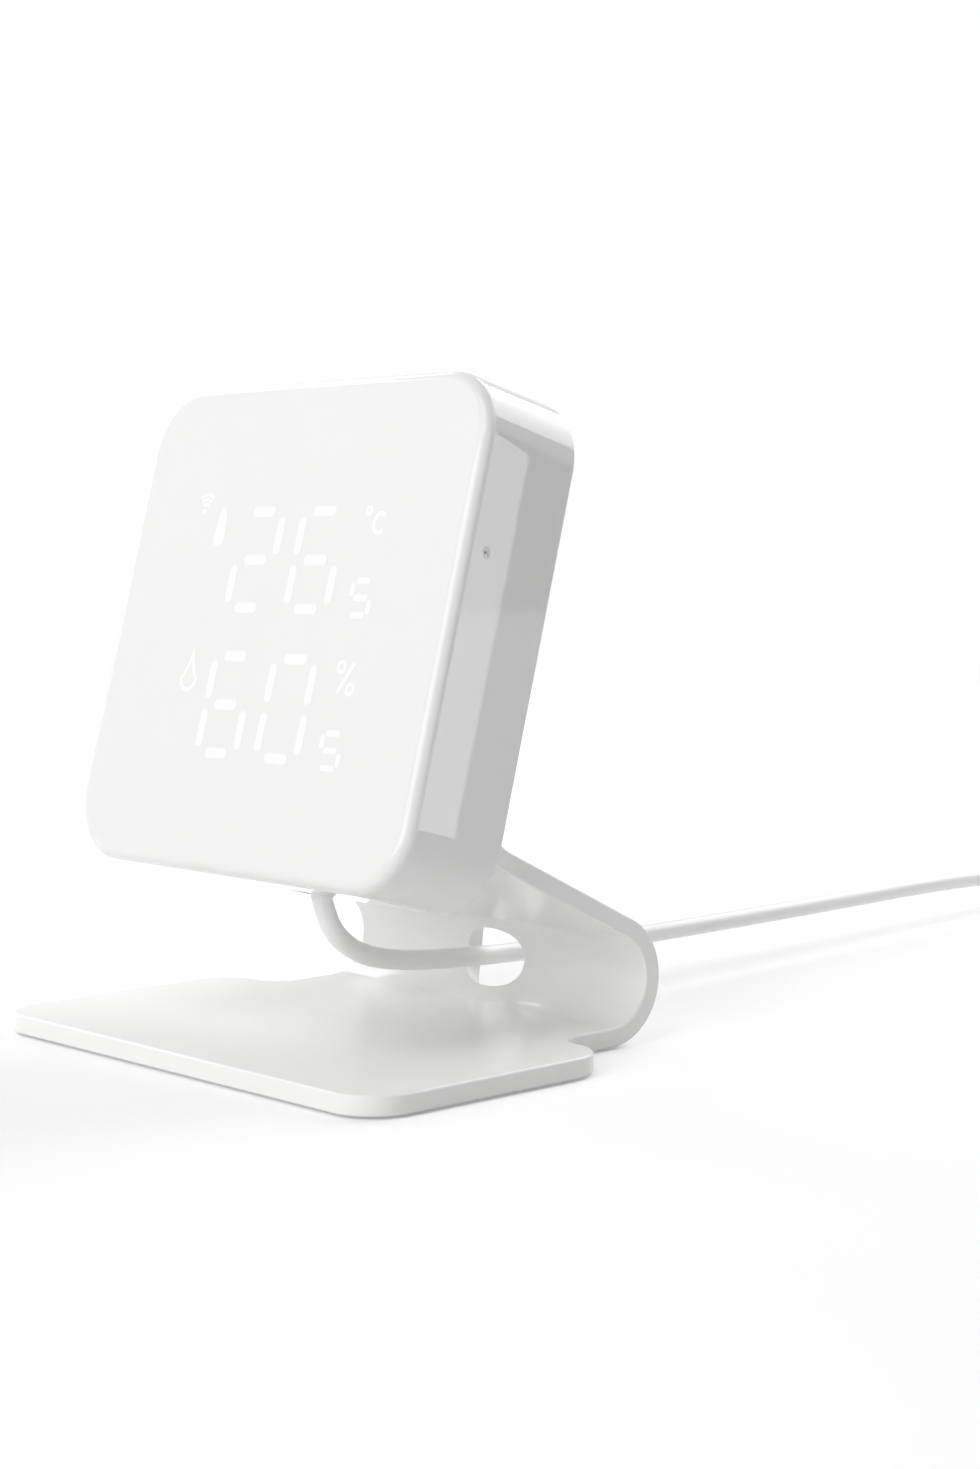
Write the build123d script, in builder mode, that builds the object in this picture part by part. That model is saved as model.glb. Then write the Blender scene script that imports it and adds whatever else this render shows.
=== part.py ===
"""Desk thermo-hygrometer: a white lit-display head on a bent one-piece stand, with its power lead.

Millimetres, +Z up, the display looks along -Y. The origin is under the middle of the stand and head,
on the surface that the foot pads rest on.
"""
import os
from math import copysign, cos, pi, radians, sin, tan

from build123d import *

# ---------------------------------------------------------------- driving dimensions
# head: a rounded square box that leans back
head_width = 80.0
head_height = 76.3
head_depth = 18.0
head_corner = 10.75          # corner radius of the outline
front_round = 1.85           # rounding between face and sides
back_break = 0.6             # small chamfer on the rear edge
head_lean = 15.4             # degrees back from upright
face_wall = 1.6              # translucent front wall
side_wall = 1.8

# stand: one sheet, flat plate, curl at the back, arm up to the head
sheet = 3.0
plate_width = 92.5
plate_depth = 46.7
plate_corner = 7.5
neck_width = 68.0
neck_length = 12.1           # from the plate's back edge to the axis of the curl
neck_land = 0.15             # flat left between the plate's corner and the neck's fillet
curl_radius = 10.1           # outside of the curl
arm_rise = 26.3              # degrees, the arm climbs forward at this slope
arm_length = 35.45           # straight part and bend, measured on the lower face
arm_seat = 9.28              # height on the head's back where the arm's lower face arrives
arm_bend = 5.0               # hollow of the bend between arm and tongue
tongue_length = 30.0         # straight part against the head's back
tongue_corner = 8.0
hole_width = 13.5            # cable hole in the curl
hole_arc = 82.0              # degrees of the curl that the hole takes
hole_dip = 8.0               # degrees that the hole looks down from level
hole_core_ends = (2.5, 0.5)  # the hole's core runs this far past the sheet, inside and outside
edge_break = 0.4             # rounding on the sheet's edges

# foot pads
pad_diameter = 9.0
pad_thickness = 1.0
pad_proud = 0.4
pad_inset = 9.0              # pad centre from the plate's edges
pad_gap = 0.1                # round each pad in its pocket

# inside the head, depths counted back from the face
cover_thickness = 2.0
cover_gap = 0.2
pcb_front = 6.4
pcb_thickness = 1.2
pcb_margin = 2.2             # board edge to the inside of the side walls
pcb_boss_diameter = 4.4
pcb_boss_clearance = 4.0     # boss centre to the light box's side
pcb_boss_heights = (-8.0, 22.0)
radio_board = (18.0, 16.0)
radio_place = (-18.0, 20.0)
shield_size = (12.5, 13.0)
shield_shift = 2.0           # the can sits this far towards the board's edge
shield_height = 2.2
radio_thickness = 0.8
driver_side = 7.0
driver_place = (-24.0, -4.0)
driver_height = 0.9
resistor_size = (1.6, 0.8)
resistor_place = (22.0, 2.0)
resistor_pitch = (3.0, 2.6)
resistor_count = (4, 4)
capacitor_size = (2.0, 1.25)
capacitor_place = (-26.0, -16.0)
capacitor_pitch = (4.0, 3.0)
capacitor_count = (3, 2)
component_height = 0.8
frame_width = 56.0
frame_height = 50.0
frame_corner = 3.0
film_thickness = 0.3
part_gap = 0.2               # clearance between stacked inner pieces

# display layout, millimetres on the face, from its centre
digit_columns = (-6.9, 7.7)
row_heights = (9.85, -12.7)
bar_half_width = 4.75        # digit centre to the middle of an upright bar
bar_half_height = 7.5        # digit centre to the middle of the top bar
flat_bar = 5.2
upright_bar = 5.8
bar_stroke = 1.5
small_column = 19.8
small_drop = 5.6             # small digit centre below its row
small_half_width = 2.15
small_half_height = 2.55
small_flat = 3.0
small_upright = 2.0
small_stroke = 0.9
light_well = 0.6             # the wells around the lamps are this much wider than the bars
lamp_size = (1.6, 0.8)
small_lamp_size = (1.0, 0.5)
lamp_height = 0.6
icon_cell = (4.6, 5.2)
icon_places = [(-22.2, 19.0), (-17.2, 14.8), (-17.6, -8.1), (19.7, 16.1), (20.1, -7.6)]

# fasteners
post_diameter = 6.0
post_inset = 7.2             # corner posts from the outside of the head
post_relief = 0.8            # board edge clear of the posts
pilot_diameter = 2.0
cover_screw_reach = 7.0
pilot_spare = 1.0            # pilot holes are this much deeper than their screws
cover_screw_head = 4.4
cover_screw_sink = 1.2
screw_head_clearance = 0.2   # round a screw head, in its recess
head_sunk = 0.1              # screw heads below the surface round them
cross_length = 2.4
cross_width = 0.6
pcb_screw_head = 4.0
pcb_screw_head_height = 1.2
stand_screw_spread = 46.0
stand_screw_height = 24.0    # above the head's lower edge
insert_diameter = 4.6
insert_length = 5.0
boss_wall = 1.5              # plastic round each threaded insert
boss_end = 1.2               # plastic beyond it
m3_diameter = 3.0
m3_head = 5.6
m3_head_height = 1.45
head_taper = 38.0            # degrees, a little steeper than its seat
insert_spare = 0.5           # thread left beyond the screw's end
hex_socket = 2.0             # across its corners
hex_depth = 1.2

# reset button behind the pinhole in the right side
pinhole_diameter = 1.3
pinhole_height = 12.2        # above the face centre
pinhole_depth = 4.4
reset_travel = 0.25
reset_body = (3.6, 4.6)      # length into the head, height
reset_body_thickness = 3.2
reset_body_inset = 1.7       # switch body from the inside of the wall
plunger_size = 1.4
plunger_gap = 0.12
plunger_proud = 0.7
plunger_hidden = 1.2
well_end = 0.2               # room behind the plunger at the end of its travel

# air slots and sensor
vent_top = 24.0
vent_drop = 6.0              # middle of the slots below their top
vent_pitch = (16.0, 3.0)
vent_slot = (12.0, 1.4)
vent_count = (3, 5)
sensor_x = 22.0
sensor_side = 3.0
sensor_height = 1.1
gasket_side = 12.0
gasket_hole = 7.0

# power lead
cord_diameter = 3.2
port_x = 2.5
notch_gap = 0.6              # room for the lead in its notch
plug_depth = 14.2            # plug axis behind the face
relief_tip = 14.0            # lower end of the strain relief above the head's lower edge
relief_length = 6.0
plug_body_width = 10.6
plug_body_thickness = 5.4
plug_body_length = 16.0
plug_edge = 0.6              # rounding at the ends of a plug's body
relief_wall = 0.3            # strain relief round the lead at its thin end
relief_diameter = 4.6
plug_clearance = 0.5
bay_wall = 1.2
bay_corner = 1.0
bay_outer_corner = 1.5
bay_low = 3.4                # lower end of the plug's bay above the head's lower edge
plug_shell = (8.34, 2.56)
plug_shell_hollow = (7.2, 1.5)
plug_shell_end = 0.5         # closed end of the hollow
plug_reach = 6.0             # how far the plug goes into the socket
socket_width = 8.94
socket_thickness = 3.26
socket_length = 7.35
socket_wall = 0.25
socket_back = 0.6
socket_gap = 0.3             # socket's mouth from the end of the bay
tongue_size = (6.6, 0.7)
tongue_inset = 1.2
power_board_size = (20.0, 13.0)
power_board_thickness = 1.0
power_board_shift = 8.0      # middle of the board above the socket's mouth
pin_pitch = 2.54
pin_count = 6
pin_side = 0.64
pin_shift = 12.8
coil_radius = 18.5
coil_stub = 13.0             # straight ends of the coil's solid, clear of its ring
coil_slack = 0.1             # looseness of the turns
tie_width = 6.0
tie_thickness = 0.4
supply_relief_length = 8.0
supply_relief_diameter = 5.6
supply_body = (15.6, 8.0)
supply_body_length = 22.0
supply_shell = (12.0, 4.5)
supply_shell_wall = 0.35
supply_shell_length = 12.0
supply_window = 2.2
supply_window_pitch = 5.0
supply_window_reach = 6.5    # from the body to the middle of the windows
carrier_size = (11.1, 1.7)
carrier_short = 0.4          # contact carrier ends this far inside the shell

# ---------------------------------------------------------------- frames worked out from them
neck_fillet = (plate_width - neck_width) / 2 - plate_corner - neck_land
footprint = plate_depth + neck_length + curl_radius
plate_front = -footprint / 2
plate_back = plate_front + plate_depth
curl_y = plate_back + neck_length
curl_z = pad_proud + curl_radius
rise = radians(arm_rise)
lean = radians(head_lean)

# the arm's lower face starts at the curl and arrives at the head's back
arm_start = Vector(0, curl_y + (curl_radius - sheet) * sin(rise), curl_z + (curl_radius - sheet) * cos(rise))
arm_arrives = arm_start + Vector(0, -cos(rise), sin(rise)) * arm_length
up_face = Vector(0, sin(lean), cos(lean))
into_head = Vector(0, cos(lean), -sin(lean))
face_centre = arm_arrives + up_face * (head_height / 2 - arm_seat) - into_head * head_depth
face = Plane(origin=face_centre, x_dir=(1, 0, 0), z_dir=-into_head)


def behind(depth):
    """The plane that lies this far behind the face."""
    return face.offset(-depth)


def above_edge(height):
    """Height on the face plane, counted from the head's lower edge."""
    return height - head_height / 2


def finish(part, name):
    """Name a finished piece and write it as its own STEP file."""
    part.label = name
    export_step(part, f"parts/{name}.step")


os.makedirs("parts", exist_ok=True)

inner_width = head_width - 2 * side_wall
inner_height = head_height - 2 * side_wall
inner_corner = head_corner - side_wall
cover_front = head_depth - cover_thickness
post_x = head_width / 2 - post_inset
post_y = head_height / 2 - post_inset
post_grid = [(x, y) for x in (-post_x, post_x) for y in (-post_y, post_y)]
pcb_post_x = frame_width / 2 + pcb_boss_clearance
pcb_post_grid = [(x, y) for x in (-pcb_post_x, pcb_post_x) for y in pcb_boss_heights]
notch_width = cord_diameter + 2 * notch_gap
notch_depth = cord_diameter + 3 * notch_gap

# ---------------------------------------------------------------- front shell
with BuildPart() as front_shell:
    with BuildSketch(face):
        RectangleRounded(head_width, head_height, head_corner)
    extrude(amount=-head_depth)
    fillet(front_shell.faces().sort_by(Axis(face_centre, face.z_dir))[-1].edges(), front_round)
    chamfer(front_shell.faces().sort_by(Axis(face_centre, face.z_dir))[0].edges(), back_break)
    with BuildSketch(behind(face_wall)):
        RectangleRounded(inner_width, inner_height, inner_corner)
    extrude(amount=-head_depth, mode=Mode.SUBTRACT)
    # corner posts for the rear cover, each tied to the walls it stands beside
    with BuildSketch(behind(face_wall)):
        with Locations(*post_grid):
            Circle(post_diameter / 2)
    extrude(amount=-(cover_front - face_wall))
    with BuildSketch(behind(cover_front)):
        with Locations(*post_grid):
            Circle(pilot_diameter / 2)
    extrude(amount=cover_screw_reach + pilot_spare, mode=Mode.SUBTRACT)
    # bosses for the main board, with pilot holes down to the face wall
    with BuildSketch(behind(face_wall)):
        with Locations(*pcb_post_grid):
            Circle(pcb_boss_diameter / 2)
            Circle(pilot_diameter / 2, mode=Mode.SUBTRACT)
    extrude(amount=-(pcb_front - face_wall))
    # notch where the lead leaves under the rear edge
    with BuildSketch(behind(head_depth)):
        with Locations((port_x, above_edge(side_wall / 2))):
            Rectangle(notch_width, side_wall * 2)
    extrude(amount=notch_depth, mode=Mode.SUBTRACT)
    # pinhole in the right side
    pin_plane = Plane(origin=face.from_local_coords((head_width / 2, pinhole_height, -pinhole_depth)),
                      x_dir=up_face, z_dir=(1, 0, 0))
    with BuildSketch(pin_plane):
        Circle(pinhole_diameter / 2)
    extrude(amount=-side_wall * 2, mode=Mode.SUBTRACT)
finish(front_shell.part, "front_shell")

# ---------------------------------------------------------------- rear cover
bay_width = plug_body_width + 2 * plug_clearance
bay_floor = plug_depth - plug_body_thickness / 2 - plug_clearance
bay_high = relief_tip + relief_length + plug_body_length + plug_clearance
bay_length = bay_high - bay_low
bay_middle = above_edge((bay_high + bay_low) / 2)
stand_screw_y = above_edge(stand_screw_height)
stand_screw_points = [(-stand_screw_spread / 2, stand_screw_y), (stand_screw_spread / 2, stand_screw_y)]
boss_diameter = insert_diameter + 2 * boss_wall
bay_passage = plug_shell[0] + 2 * plug_clearance
with BuildPart() as rear_cover:
    with BuildSketch(behind(head_depth)):
        RectangleRounded(inner_width - 2 * cover_gap, inner_height - 2 * cover_gap, inner_corner - cover_gap)
    extrude(amount=cover_thickness)
    # bay for the plug, open to the rear
    with BuildSketch(behind(head_depth)):
        with Locations((port_x, bay_middle)):
            RectangleRounded(bay_width + 2 * bay_wall, bay_length + 2 * bay_wall, bay_outer_corner)
    extrude(amount=head_depth - bay_floor + bay_wall)
    with BuildSketch(behind(head_depth)):
        with Locations((port_x, bay_middle)):
            RectangleRounded(bay_width, bay_length, bay_corner)
    extrude(amount=head_depth - bay_floor, mode=Mode.SUBTRACT)
    # the bay's upper end lets the plug's shell through to the socket
    with BuildSketch(behind(bay_floor)):
        with Locations((port_x, above_edge(bay_high + bay_wall / 2))):
            Rectangle(bay_passage, bay_wall * 2)
    extrude(amount=-(cover_front - bay_floor), mode=Mode.SUBTRACT)
    # way out for the lead at the lower end
    with BuildSketch(behind(head_depth)):
        with Locations((port_x, above_edge(bay_low / 2))):
            Rectangle(notch_width, bay_low + bay_wall)
    extrude(amount=notch_depth, mode=Mode.SUBTRACT)
    # bosses for the stand's threaded inserts
    with BuildSketch(behind(cover_front)):
        with Locations(*stand_screw_points):
            Circle(boss_diameter / 2)
    extrude(amount=insert_length - cover_thickness + boss_end)
    with BuildSketch(behind(head_depth)):
        with Locations(*stand_screw_points):
            Circle(insert_diameter / 2)
    extrude(amount=insert_length, mode=Mode.SUBTRACT)
    # cover screws sink into the corners
    with BuildSketch(behind(head_depth)):
        with Locations(*post_grid):
            Circle(pilot_diameter / 2 + screw_head_clearance)
    extrude(amount=cover_thickness, mode=Mode.SUBTRACT)
    with BuildSketch(behind(head_depth)):
        with Locations(*post_grid):
            Circle(cover_screw_head / 2 + screw_head_clearance)
    extrude(amount=cover_screw_sink, mode=Mode.SUBTRACT)
    # air slots over the sensor
    with BuildSketch(behind(head_depth)):
        with Locations((0, vent_top - vent_drop)):
            with GridLocations(*vent_pitch, *vent_count):
                SlotOverall(*vent_slot)
    extrude(amount=cover_thickness, mode=Mode.SUBTRACT)
finish(rear_cover.part, "rear_cover")

with BuildPart() as cover_screws:
    with BuildSketch(behind(head_depth - cover_screw_sink)):
        with Locations(*post_grid):
            Circle(pilot_diameter / 2)
    extrude(amount=cover_screw_reach)
    with BuildSketch(behind(head_depth - cover_screw_sink)):
        with Locations(*post_grid):
            Circle(cover_screw_head / 2)
    extrude(amount=-(cover_screw_sink - head_sunk))
    with BuildSketch(behind(head_depth - head_sunk)):
        with Locations(*post_grid):
            Rectangle(cross_length, cross_width)
            Rectangle(cross_width, cross_length)
    extrude(amount=cross_width, mode=Mode.SUBTRACT)
finish(cover_screws.part, "cover_screws")


# ---------------------------------------------------------------- display
def digit_bars(x, y, half_width, half_height, flat, upright):
    """Seven bars of one digit as (place, length, turn)."""
    flats = [((x, y + step * half_height), flat, 0) for step in (-1, 0, 1)]
    uprights = [((x + side * half_width, y + step * half_height / 2), upright, 90)
                for side in (-1, 1) for step in (-1, 1)]
    return flats + uprights


big_bars = [bar for y in row_heights for x in digit_columns
            for bar in digit_bars(x, y, bar_half_width, bar_half_height, flat_bar, upright_bar)]
small_bars = [bar for y in row_heights
              for bar in digit_bars(small_column, y - small_drop,
                                    small_half_width, small_half_height, small_flat, small_upright)]

with BuildPart() as segment_frame:
    frame_depth = pcb_front - face_wall - film_thickness - 2 * part_gap
    frame_start = face_wall + film_thickness + part_gap
    with BuildSketch(behind(frame_start)):
        RectangleRounded(frame_width, frame_height, frame_corner)
    extrude(amount=-frame_depth)
    with BuildSketch(behind(frame_start)):
        for place, length, turn in big_bars:
            with Locations(place):
                SlotOverall(length, bar_stroke, rotation=turn)
        for place, length, turn in small_bars:
            with Locations(place):
                SlotOverall(length, small_stroke, rotation=turn)
        with Locations(*icon_places):
            RectangleRounded(*icon_cell, bar_stroke / 2)
    extrude(amount=-frame_depth, mode=Mode.SUBTRACT)
    # wider wells around the lamps of the big bars
    with BuildSketch(behind(frame_start + frame_depth)):
        for place, length, turn in big_bars:
            with Locations(place):
                Rectangle(length - bar_stroke, bar_stroke + light_well, rotation=turn)
    extrude(amount=frame_depth / 2, mode=Mode.SUBTRACT)
finish(segment_frame.part, "segment_frame")

with BuildPart() as diffuser_film:
    with BuildSketch(behind(face_wall + part_gap / 2)):
        RectangleRounded(frame_width, frame_height, frame_corner)
    extrude(amount=-film_thickness)
finish(diffuser_film.part, "diffuser_film")

with BuildPart() as led_chips:
    with BuildSketch(behind(pcb_front)):
        for place, length, turn in big_bars:
            with Locations(place):
                Rectangle(*lamp_size, rotation=turn)
        for place, length, turn in small_bars:
            with Locations(place):
                Rectangle(*small_lamp_size, rotation=turn)
        with Locations(*icon_places):
            Rectangle(*lamp_size)
    extrude(amount=lamp_height)
finish(led_chips.part, "led_chips")

# ---------------------------------------------------------------- electronics
pcb_width = inner_width - 2 * pcb_margin
pcb_height = inner_height - 2 * pcb_margin
pcb_back = pcb_front + pcb_thickness
post_corner = post_diameter + 2 * post_relief
with BuildPart() as main_pcb:
    with BuildSketch(behind(pcb_front)):
        RectangleRounded(pcb_width, pcb_height, inner_corner - pcb_margin)
        with Locations(*post_grid):
            Circle(post_corner / 2, mode=Mode.SUBTRACT)
        with Locations(*[(copysign(post_x + post_corner / 2, x), copysign(post_y + post_corner / 2, y))
                         for x, y in post_grid]):
            Rectangle(post_corner * 2, post_corner, mode=Mode.SUBTRACT)
            Rectangle(post_corner, post_corner * 2, mode=Mode.SUBTRACT)
        with Locations(*pcb_post_grid):
            Circle(pilot_diameter / 2 + screw_head_clearance, mode=Mode.SUBTRACT)
    extrude(amount=-pcb_thickness)
finish(main_pcb.part, "main_pcb")

with BuildPart() as pcb_screws:
    with BuildSketch(behind(face_wall)):
        with Locations(*pcb_post_grid):
            Circle(pilot_diameter / 2)
    extrude(amount=-(pcb_back - face_wall))
    with BuildSketch(behind(pcb_back)):
        with Locations(*pcb_post_grid):
            Circle(pcb_screw_head / 2)
    extrude(amount=-pcb_screw_head_height)
finish(pcb_screws.part, "pcb_screws")

with BuildPart() as radio_module:
    with BuildSketch(behind(pcb_back)):
        with Locations(radio_place):
            Rectangle(*radio_board)
    extrude(amount=-radio_thickness)
finish(radio_module.part, "radio_module")

with BuildPart() as shield_can:
    with BuildSketch(behind(pcb_back + radio_thickness)):
        with Locations((radio_place[0] - shield_shift, radio_place[1])):
            RectangleRounded(*shield_size, radio_thickness)
    extrude(amount=-shield_height)
    chamfer(shield_can.faces().sort_by(Axis(face_centre, face.z_dir))[0].edges(), radio_thickness / 3)
finish(shield_can.part, "shield_can")

with BuildPart() as led_driver:
    with BuildSketch(behind(pcb_back)):
        with Locations(driver_place):
            Rectangle(driver_side, driver_side)
    extrude(amount=-driver_height)
finish(led_driver.part, "led_driver")

with BuildPart() as pcb_components:
    with BuildSketch(behind(pcb_back)):
        with Locations(resistor_place):
            with GridLocations(*resistor_pitch, *resistor_count):
                Rectangle(*resistor_size)
        with Locations(capacitor_place):
            with GridLocations(*capacitor_pitch, *capacitor_count):
                Rectangle(*capacitor_size)
    extrude(amount=-component_height)
finish(pcb_components.part, "pcb_components")

# ---------------------------------------------------------------- power socket on its small board
socket_low = bay_high + socket_gap
power_board_front = plug_depth - socket_thickness / 2 - power_board_thickness
with BuildPart() as power_board:
    with BuildSketch(behind(power_board_front)):
        with Locations((port_x, above_edge(socket_low + power_board_shift))):
            RectangleRounded(*power_board_size, power_board_thickness)
    extrude(amount=-power_board_thickness)
finish(power_board.part, "power_board")

with BuildPart() as header_pins:
    with BuildSketch(behind(pcb_back)):
        with Locations((port_x, above_edge(socket_low + pin_shift))):
            with GridLocations(pin_pitch, pin_pitch, pin_count, 1):
                Rectangle(pin_side, pin_side)
    extrude(amount=-(power_board_front - pcb_back))
finish(header_pins.part, "header_pins")

socket_mouth = Plane(origin=face.from_local_coords((port_x, above_edge(socket_low), -plug_depth)),
                     x_dir=(1, 0, 0), z_dir=up_face)
with BuildPart() as power_socket:
    with BuildSketch(socket_mouth):
        SlotOverall(socket_width, socket_thickness)
    extrude(amount=socket_length)
    with BuildSketch(socket_mouth):
        SlotOverall(socket_width - 2 * socket_wall, socket_thickness - 2 * socket_wall)
    extrude(amount=socket_length - socket_back, mode=Mode.SUBTRACT)
    with BuildSketch(socket_mouth.offset(tongue_inset)):
        Rectangle(*tongue_size)
    extrude(amount=socket_length - tongue_inset)
finish(power_socket.part, "power_socket")

# ---------------------------------------------------------------- sensor
sensor_y = vent_top - vent_drop
with BuildPart() as humidity_sensor:
    with BuildSketch(behind(pcb_back)):
        with Locations((sensor_x, sensor_y)):
            Rectangle(sensor_side, sensor_side)
    extrude(amount=-sensor_height)
finish(humidity_sensor.part, "humidity_sensor")

with BuildPart() as sensor_gasket:
    with BuildSketch(behind(pcb_back)):
        with Locations((sensor_x, sensor_y)):
            RectangleRounded(gasket_side, gasket_side, gasket_side / 6)
            RectangleRounded(gasket_hole, gasket_hole, gasket_hole / 6, mode=Mode.SUBTRACT)
    extrude(amount=-(cover_front - pcb_back - part_gap))
finish(sensor_gasket.part, "sensor_gasket")

# ---------------------------------------------------------------- reset button
reset_face = head_width / 2 - side_wall - reset_body_inset
side_plane = Plane(origin=face.from_local_coords((reset_face, pinhole_height, -pinhole_depth)),
                   x_dir=up_face, z_dir=(1, 0, 0))
with BuildPart() as reset_switch_body:
    with BuildSketch(behind(pcb_front)):
        with Locations((reset_face - reset_body[0] / 2, pinhole_height)):
            Rectangle(*reset_body)
    extrude(amount=reset_body_thickness)
    with BuildSketch(side_plane):
        Rectangle(plunger_size + 2 * plunger_gap, plunger_size + 2 * plunger_gap)
    extrude(amount=-(plunger_hidden + reset_travel + well_end), mode=Mode.SUBTRACT)
finish(reset_switch_body.part, "reset_switch_body")

with BuildPart() as reset_plunger:
    with BuildSketch(side_plane.offset(-plunger_hidden)):
        Rectangle(plunger_size, plunger_size)
    extrude(amount=plunger_hidden + plunger_proud)
    chamfer(reset_plunger.faces().sort_by(Axis.X)[-1].edges(), plunger_gap)
finish(reset_plunger.part, "reset_plunger")

# ---------------------------------------------------------------- stand
hole_axis = radians(hole_dip)
with BuildPart() as stand:
    with BuildSketch(Plane.XY.offset(pad_proud)) as outline:
        with Locations((0, plate_front + plate_depth / 2)):
            RectangleRounded(plate_width, plate_depth, plate_corner)
        with Locations((0, curl_y - (neck_length + plate_corner) / 2)):
            Rectangle(neck_width, neck_length + plate_corner)
        inner_corners = outline.vertices().filter_by_position(Axis.Y, plate_back - 0.01, plate_back + 0.01)
        fillet(inner_corners.filter_by_position(Axis.X, -neck_width / 2 - 0.01, neck_width / 2 + 0.01), neck_fillet)
    extrude(amount=sheet)
    # curl, arm and tongue: the sheet's outer line, thickened to its inside
    with BuildSketch(Plane.YZ.offset(-neck_width / 2)):
        with BuildLine():
            curl = JernArc((curl_y, pad_proud), (1, 0), curl_radius, 180 - arm_rise)
            bend_turn = 180 - arm_rise - (90 - head_lean)
            bend_reach = (arm_bend + sheet) * tan(radians(bend_turn / 2))
            arm = PolarLine(curl @ 1, arm_length - bend_reach, 180 - arm_rise)
            bend = JernArc(arm @ 1, arm % 1, arm_bend, -bend_turn)
            PolarLine(bend @ 1, tongue_length, 90 - head_lean)
            offset(amount=sheet, side=Side.LEFT)
        make_face()
    extrude(amount=neck_width)
    # rounded top corners of the tongue
    tongue_top = stand.faces().sort_by(Axis(face_centre, up_face))[-1]
    fillet(tongue_top.edges().filter_by(Plane.YZ), tongue_corner)
    # broken edges all round the sheet, on both its faces
    thickness_edges = stand.edges().filter_by(lambda edge: abs(edge.length - sheet) < 0.001)
    walls = stand.faces().filter_by(lambda wall: any(edge in thickness_edges for edge in wall.edges()))
    fillet([edge for edge in walls.edges() if edge not in thickness_edges], edge_break)
    # cable hole, its walls square to the curl
    hole_plane = Plane(origin=(0, curl_y, curl_z), x_dir=(1, 0, 0), z_dir=(0, cos(hole_axis), -sin(hole_axis)))
    for reach in (curl_radius - sheet - hole_core_ends[0], curl_radius + hole_core_ends[1]):
        with BuildSketch(hole_plane.offset(reach)):
            Ellipse(hole_width / 2, reach * tan(radians(hole_arc / 2)))
    loft(mode=Mode.SUBTRACT)
    # countersunk screws through the tongue into the rear cover
    with Locations(behind(head_depth + sheet)):
        with Locations(*stand_screw_points):
            CounterSinkHole(m3_diameter / 2 + screw_head_clearance, m3_head / 2 + screw_head_clearance, sheet * 2, 90)
    # pockets for the foot pads
    with BuildSketch(Plane.XY.offset(pad_proud)):
        with Locations((0, plate_front + plate_depth / 2)):
            with GridLocations(plate_width - 2 * pad_inset, plate_depth - 2 * pad_inset, 2, 2):
                Circle(pad_diameter / 2 + pad_gap)
    extrude(amount=pad_thickness - pad_proud, mode=Mode.SUBTRACT)
finish(stand.part, "stand")

screw_top = behind(head_depth + sheet)
with BuildPart() as stand_screws:
    with BuildSketch(screw_top):
        with Locations(*stand_screw_points):
            Circle(m3_head / 2)
    extrude(amount=m3_head_height, taper=head_taper)
    with BuildSketch(screw_top):
        with Locations(*stand_screw_points):
            Circle(m3_diameter / 2)
    extrude(amount=sheet + insert_length - insert_spare)
    with BuildSketch(screw_top):
        with Locations(*stand_screw_points):
            RegularPolygon(hex_socket / 2, 6)
    extrude(amount=hex_depth, mode=Mode.SUBTRACT)
finish(stand_screws.part, "stand_screws")

with BuildPart() as threaded_inserts:
    with BuildSketch(behind(head_depth)):
        with Locations(*stand_screw_points):
            Circle(insert_diameter / 2)
            Circle(m3_diameter / 2, mode=Mode.SUBTRACT)
    extrude(amount=insert_length)
finish(threaded_inserts.part, "threaded_inserts")

with BuildPart() as foot_pads:
    with BuildSketch():
        with Locations((0, plate_front + plate_depth / 2)):
            with GridLocations(plate_width - 2 * pad_inset, plate_depth - 2 * pad_inset, 2, 2):
                Circle(pad_diameter / 2)
    extrude(amount=pad_thickness)
finish(foot_pads.part, "foot_pads")

# ---------------------------------------------------------------- power lead, head end
body_low = relief_tip + relief_length
shell_top = socket_low + plug_reach


def along_plug(height):
    """Plane square to the plug's axis at this height above the head's lower edge."""
    return Plane(origin=face.from_local_coords((port_x, above_edge(height), -plug_depth)),
                 x_dir=(1, 0, 0), z_dir=up_face)


with BuildPart() as device_plug_shell:
    with BuildSketch(along_plug(body_low + plug_body_length)):
        SlotOverall(*plug_shell)
    extrude(amount=shell_top - body_low - plug_body_length)
    with BuildSketch(along_plug(body_low + plug_body_length + plug_shell_end)):
        SlotOverall(*plug_shell_hollow)
    extrude(amount=shell_top - body_low, mode=Mode.SUBTRACT)
finish(device_plug_shell.part, "device_plug_shell")

with BuildPart() as device_plug_body:
    with BuildSketch(along_plug(body_low)):
        RectangleRounded(plug_body_width, plug_body_thickness, plug_body_thickness * 0.4)
    extrude(amount=plug_body_length)
    fillet(device_plug_body.faces().sort_by(Axis(face_centre, up_face))[-1].edges(), plug_edge)
    fillet(device_plug_body.faces().sort_by(Axis(face_centre, up_face))[0].edges(), plug_edge)
finish(device_plug_body.part, "device_plug_body")

with BuildPart() as device_strain_relief:
    with BuildSketch(along_plug(relief_tip)):
        Circle(cord_diameter / 2 + relief_wall)
    with BuildSketch(along_plug(body_low)):
        Circle(relief_diameter / 2)
    loft()
finish(device_strain_relief.part, "device_strain_relief")

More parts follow.
